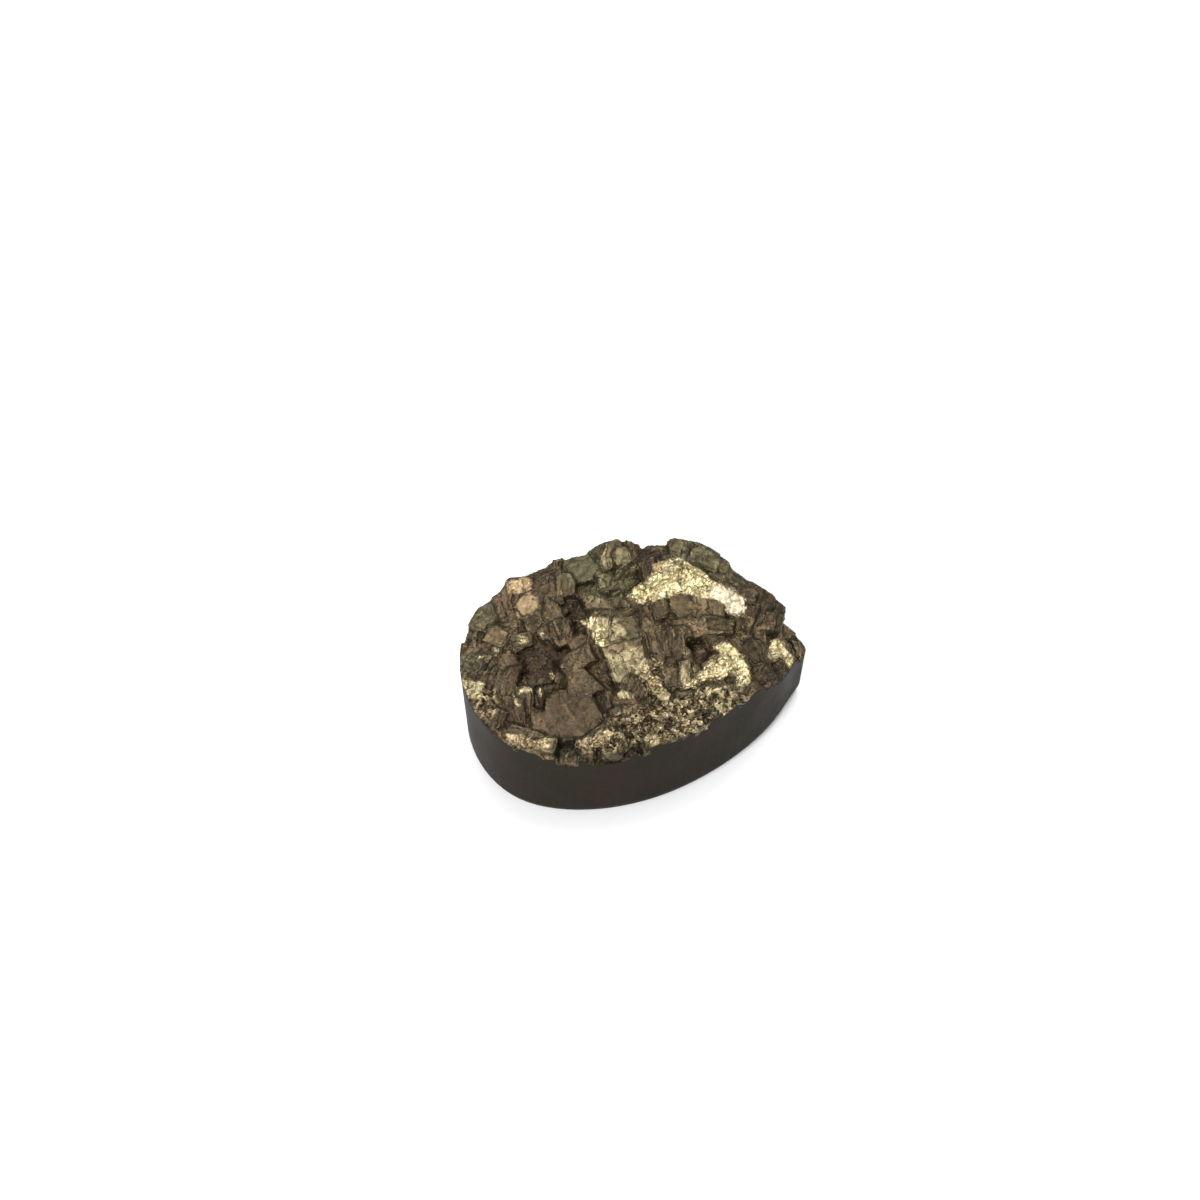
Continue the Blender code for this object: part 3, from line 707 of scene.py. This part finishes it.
    def seam_shading(self, hollow, wide_hollow):
        """Painted shade in the hollows and concave seams between crystals, thin dark joints where faces meet,
        and dark lines in the lobes of bare pyrite, from 0 to 1.
        """
        seam_shade = SEAM_SHADE_DARK * smooth_step(0.0, 0.05, hollow)
        seam_shade += WIDE_HOLLOW_SHADE * smooth_step(0.1, 0.4, wide_hollow)
        concave = smooth_step(-0.03, 0.02, hollow)
        between = smooth_step(0.2, 0.55, self.border) * (0.15 + 0.8 * concave)
        seam_shade = np.maximum(seam_shade, between * (0.5 + 0.5 * self.open_crack))
        return np.maximum(seam_shade, LOBE_LINE_DARK * self.bare_highlit * self.lobe_groove)

    def grooves(self):
        """How dark the grooves between grains are, from 0 to 1."""
        groove = self.striated * self.lath_groove * LATH_GROOVE_DARK * (1 - CALMED_GROOVE_DARK * self.calm)
        groove = groove + self.grainy * self.grain_groove * GRAIN_GROOVE_DARK
        groove += self.granular * self.crumb_groove
        groove = np.maximum(groove * (1 - self.bare_highlit), self.bare_highlit * self.chip_groove * CHIP_GROOVE_DARK)
        groove *= 0.25 + 0.75 * self.open_crack
        return np.maximum(groove, self.bare_highlit * self.lobe_groove * LOBE_GROOVE_DARK)

    def grain_tones(self):
        """A number from 0 to 1 that is the same all over one grain."""
        striated = np.where(self.striated > 0.5, self.lath_number, self.grain_number)
        grain = np.where(self.granular > 0.5, self.crumb_number, striated)
        return np.where(self.bare_highlit > 0.5, self.chip_number, 0.6 * grain + 0.4 * self.scratch_number)

    def paint(self):
        """Writes the masks that the material reads."""
        hollow, wide_hollow = self.hollow_over(HOLLOW_ROUNDS), self.hollow_over(WIDE_HOLLOW_ROUNDS)
        dark, olive, plum = (np.zeros(len(self.points)) for _ in range(3))
        for *oval, how_dark, how_olive, how_plum in TARNISH_AND_DARKNESS:
            mask = inside_oval(self.place, *oval)
            dark += mask * how_dark
            olive = np.maximum(olive, mask * how_olive)
            plum = np.maximum(plum, mask * how_plum)
        masks = {
            "bare_highlight": self.bare_highlight,
            "tone": self.tone,
            "seam_shade": np.clip(self.seam_shading(hollow, wide_hollow), 0, 1) * self.crust,
            "hollow": smooth_step(0.08, 0.4, wide_hollow) * self.crust,
            "groove": np.clip(self.grooves(), 0, 1) * self.crust,
            "edge": smooth_step(0.004, 0.045, -hollow) * self.crust,
            "dark": dark,
            "olive": olive,
            "plum": plum,
            "ground": 1 - self.crust,
            "granular": self.granular,
            "grain": self.grain_tones(),
            "white_highlight": inside_oval(self.place, *WHITE_HIGHLIGHT_OVAL) * self.bare_highlight,
        }
        for name, values in masks.items():
            attribute = self.mesh.attributes.new(name, "FLOAT", "POINT")
            attribute.data.foreach_set("value", values.astype(np.float32))


class Shader:
    """A small helper that adds nodes to one material."""

    def __init__(self, name):
        self.material = bpy.data.materials.new(name)
        self.material.use_nodes = True
        self.nodes = self.material.node_tree.nodes
        self.links = self.material.node_tree.links
        self.surface = self.nodes["Principled BSDF"]
        self.masks = {}

    def put(self, value, socket):
        if isinstance(value, bpy.types.NodeSocket):
            self.links.new(value, socket)
        else:
            socket.default_value = value

    def set(self, name, value):
        """Puts a value or a link into one of the surface's own sockets."""
        self.put(value, self.surface.inputs[name])

    def mask(self, name):
        """One of the masks that Skin.paint writes."""
        if name not in self.masks:
            node = self.nodes.new("ShaderNodeAttribute")
            node.attribute_name = name
            self.masks[name] = node.outputs["Fac"]
        return self.masks[name]

    def math(self, operation, first, second, clamp=False):
        node = self.nodes.new("ShaderNodeMath")
        node.operation = operation
        node.use_clamp = clamp
        self.put(first, node.inputs[0])
        self.put(second, node.inputs[1])
        return node.outputs[0]

    def add(self, first, second):
        return self.math("ADD", first, second)

    def most(self, first, second):
        return self.math("MAXIMUM", first, second)

    def times(self, first, *others, clamp=False):
        for other in others:
            first = self.math("MULTIPLY", first, other, clamp)
        return first

    def spread(self, value, low, high, to_low, to_high):
        """The value, with low to high spread over to_low to to_high, and no further."""
        node = self.nodes.new("ShaderNodeMapRange")
        for index, item in enumerate((value, low, high, to_low, to_high)):
            self.put(item, node.inputs[index])
        return node.outputs[0]

    def mix(self, amount, first, second, blend="MIX"):
        """A mix of two colours."""
        node = self.nodes.new("ShaderNodeMix")
        node.data_type = "RGBA"
        node.blend_type = blend
        self.put(amount, node.inputs[0])
        self.put(first, node.inputs[6])
        self.put(second, node.inputs[7])
        return node.outputs[2]

    def mix_numbers(self, amount, first, second):
        node = self.nodes.new("ShaderNodeMix")
        self.put(amount, node.inputs[0])
        self.put(first, node.inputs[2])
        self.put(second, node.inputs[3])
        return node.outputs[0]

    def noise(self, scale, detail=4.0, rough=0.6):
        """Noise in the stone's own space. The scale is in features per mm."""
        place = self.nodes.new("ShaderNodeTexCoord").outputs["Object"]
        node = self.nodes.new("ShaderNodeTexNoise")
        self.put(place, node.inputs["Vector"])
        self.put(scale / MM, node.inputs["Scale"])
        self.put(detail, node.inputs["Detail"])
        self.put(rough, node.inputs["Roughness"])
        return node.outputs["Fac"]

    def bump(self, height, strength, distance):
        node = self.nodes.new("ShaderNodeBump")
        self.put(height, node.inputs["Height"])
        self.put(strength, node.inputs["Strength"])
        self.put(distance, node.inputs["Distance"])
        self.set("Normal", node.outputs["Normal"])


def colour(red, green, blue):
    """A colour given as the 0 to 255 numbers of a screen."""
    screen = np.array([red, green, blue]) / 255
    linear = np.where(screen <= 0.04045, screen / 12.92, ((screen + 0.055) / 1.055) ** 2.4)
    return (*linear, 1.0)


BROWN, GREY_BROWN = colour(90, 75, 54), colour(72, 64, 48)
OLIVE, PLUM = colour(78, 74, 54), colour(76, 62, 47)
# Bare pyrite's gold colours; the brightest stands partly for a painted reflection.
DEEP_BARE_GOLD, BRIGHT_HIGHLIGHT_GOLD = colour(176, 156, 108), colour(250, 238, 190)
WHITE_HIGHLIGHT_GOLD, PLUM_BARE_GOLD, CRUMB_BARE_GOLD = colour(252, 238, 212), colour(208, 172, 128), colour(172, 148, 112)
# The darkest colour is painted shade in the seams and hollows, and the darkening along the grooves.
HOLLOW_BROWN, SHADE_AND_GROOVE_DARK = colour(78, 60, 45), colour(28, 22, 15)
WALL_BROWN, WALL_GREEN, WALL_MOTTLE = colour(36, 27, 21), colour(32, 31, 23), colour(47, 40, 31)
WALL_SPECK, WALL_PIT = colour(84, 74, 56), colour(14, 11, 8)


def tarnish_colour(shader, cloud, speck):
    """Brown, olive and plum tarnish, lighter or darker from face to face and from grain to grain."""
    tarnish = shader.mix(shader.spread(cloud, 0.35, 0.65, 0, 1), BROWN, GREY_BROWN)
    tarnish = shader.mix(shader.mask("olive"), tarnish, OLIVE)
    tarnish = shader.mix(shader.mask("plum"), tarnish, PLUM)
    light = shader.times(
        shader.spread(shader.mask("tone"), 0, 1, 0.65, 1.55),
        shader.spread(shader.mask("grain"), 0, 1, 0.7, 1.38),
        shader.spread(speck, 0.36, 0.64, 0.66, 1.34),
        shader.spread(shader.noise(2.4, 4.0, 0.7), 0.35, 0.65, 0.72, 1.3),
        shader.spread(shader.mask("dark"), -1, 1, 1.88, 0.12),
    )
    return shader.mix(1.0, tarnish, light, "MULTIPLY")


def bare_highlight_colour(shader, speck):
    """Bare pyrite: pale gold up to near white, which stands partly for a painted reflection, whiter at the
    painted white highlight, warmer on plum ground and duller in crumbs.
    """
    paleness = shader.add(shader.times(speck, 0.8), shader.times(shader.mask("grain"), 0.45))
    pale = shader.mix(shader.spread(paleness, 0.3, 0.9, 0, 1), DEEP_BARE_GOLD, BRIGHT_HIGHLIGHT_GOLD)
    pale = shader.mix(shader.times(shader.mask("white_highlight"), 0.6), pale, WHITE_HIGHLIGHT_GOLD)
    pale = shader.mix(shader.times(shader.mask("plum"), 0.7), pale, PLUM_BARE_GOLD)
    return shader.mix(shader.times(shader.mask("granular"), 0.6), pale, CRUMB_BARE_GOLD)


def bareness(shader, speck):
    """Where the pyrite is bare, from 0 to 1: the highlight patches, partly a painted reflection, the brighter
    crumbs and worn edges.
    """
    bright = shader.spread(shader.mask("grain"), 0.4, 0.9, 0.0, 1.0)
    bare = shader.most(shader.mask("bare_highlight"), shader.times(shader.mask("granular"), bright, clamp=True))
    bare = shader.times(bare, shader.spread(speck, 0.25, 0.45, 0.5, 1.0), clamp=True)
    worn = shader.times(shader.mask("edge"), shader.spread(speck, 0.4, 0.7, 0.0, 0.3), clamp=True)
    return shader.most(bare, worn)


def crust_colour(shader, cloud, speck, bare):
    """Tarnish and bare pyrite, brown in the hollows, darkened along the grooves, with painted shade in the
    seams.
    """
    crust = shader.mix(bare, tarnish_colour(shader, cloud, speck), bare_highlight_colour(shader, speck))
    crust = shader.mix(shader.times(shader.mask("hollow"), 0.75), crust, HOLLOW_BROWN)
    shade_and_lines = shader.times(shader.mask("groove"), shader.spread(cloud, 0.3, 0.65, 0.35, 0.85), clamp=True)
    shade_and_lines = shader.most(shade_and_lines, shader.mask("seam_shade"))
    shade_and_lines = shader.times(shade_and_lines, shader.spread(shader.mask("hollow"), 0, 1, 0.88, 0.45))
    return shader.mix(shade_and_lines, crust, SHADE_AND_GROOVE_DARK)


def wall_colour(shader, wall_cloud, pits):
    """The ground wall: nearly black, browner or greener in places, with mottle, pale specks and pits."""
    wall = shader.mix(shader.spread(wall_cloud, 0.35, 0.65, 0, 1), WALL_BROWN, WALL_GREEN)
    wall = shader.mix(shader.spread(shader.noise(2.6, 6.0, 0.8), 0.42, 0.72, 0, 0.4), wall, WALL_MOTTLE)
    wall = shader.mix(shader.spread(shader.noise(2.9, 2.0, 0.5), 0.72, 0.78, 0, 0.4), wall, WALL_SPECK)
    return shader.mix(shader.times(pits, 0.75), wall, WALL_PIT)


def pyrite_material():
    shader = Shader("pyrite")
    ground = shader.mask("ground")
    cloud, speck = shader.noise(0.9), shader.noise(7.0, 5.0, 0.7)
    wall_cloud = shader.noise(0.25, 3.0)
    pits = shader.spread(shader.noise(1.7, 3.0, 0.55), 0.7, 0.74, 0, 1)
    bare = bareness(shader, speck)
    crust, wall = crust_colour(shader, cloud, speck, bare), wall_colour(shader, wall_cloud, pits)
    shader.set("Base Color", shader.mix(ground, crust, wall))
    shader.set("Metallic", shader.times(
        shader.spread(ground, 0, 1, 0.85, 0.0),
        shader.spread(shader.mask("hollow"), 0, 1, 1.0, 0.25),
        shader.spread(bare, 0, 1, 1.0, 0.75),
        shader.spread(shader.mask("white_highlight"), 0, 1, 1.0, 0.5),
    ))
    shader.set("Specular IOR Level", shader.spread(ground, 0, 1, 0.5, 0.03))
    unevenness = shader.spread(speck, 0.3, 0.7, -0.08, 0.1)
    crust_roughness = shader.add(shader.spread(bare, 0, 1, 0.5, 0.36), unevenness)
    wall_roughness = shader.spread(wall_cloud, 0.3, 0.7, 0.42, 0.55)
    shader.set("Roughness", shader.mix_numbers(ground, crust_roughness, wall_roughness))
    fine = shader.times(shader.noise(11.0, 6.0, 0.75), shader.spread(ground, 0, 1, 1.0, 0.15))
    pitted = shader.times(pits, ground, -0.8)
    shader.bump(shader.add(fine, pitted), strength=0.7, distance=0.03 * MM)
    return shader.material


def add_floor():
    bpy.ops.mesh.primitive_plane_add(size=FLOOR_SIZE)
    floor = bpy.context.object
    floor.name = "floor"
    shader = Shader("pale_floor")
    shader.set("Base Color", FLOOR_COLOUR)
    shader.set("Roughness", FLOOR_ROUGHNESS)
    floor.data.materials.append(shader.material)


def add_light(name, place, size, power):
    """A square soft light, placed in mm, that faces the stone."""
    lamp = bpy.data.lights.new(name, "AREA")
    lamp.size = size * MM
    lamp.energy = power
    obj = bpy.data.objects.new(name, lamp)
    bpy.context.scene.collection.objects.link(obj)
    obj.location = Vector(place) * MM
    obj.rotation_euler = (-obj.location).to_track_quat("-Z", "Y").to_euler()


def add_camera():
    """A camera at the photograph's place and angle."""
    camera = bpy.data.cameras.new("camera")
    camera.lens = LENS
    camera.sensor_width = SENSOR
    camera.clip_start = NEAREST_SEEN * MM
    obj = bpy.data.objects.new("camera", camera)
    bpy.context.scene.collection.objects.link(obj)
    back = (Vector(CAMERA_PLACE) - Vector(CAMERA_AIM)).normalized()
    up = back.cross(Vector(CAMERA_RIGHT)).normalized()
    turn = Matrix((up.cross(back), up, back)).transposed().to_4x4()
    obj.matrix_world = Matrix.Translation(Vector(CAMERA_PLACE) * MM) @ turn
    bpy.context.scene.camera = obj


def add_surroundings():
    world = bpy.data.worlds.new("studio")
    bpy.context.scene.world = world
    world.use_nodes = True
    background = world.node_tree.nodes["Background"]
    background.inputs["Color"].default_value = (1, 1, 1, 1)
    background.inputs["Strength"].default_value = WORLD_STRENGTH
    bpy.context.scene.view_settings.view_transform = "Standard"


def main():
    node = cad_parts[NODE]
    facets = Facets(node)
    piece = fine_copy(node)
    thin_the_ground(piece)
    skin = Skin(piece.data, facets)
    skin.shape()
    skin.paint()
    piece.data.materials.clear()
    piece.data.materials.append(pyrite_material())
    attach(piece, "root")
    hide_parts(NODE)
    add_floor()
    for light in LIGHTS:
        add_light(*light)
    add_camera()
    add_surroundings()


main()
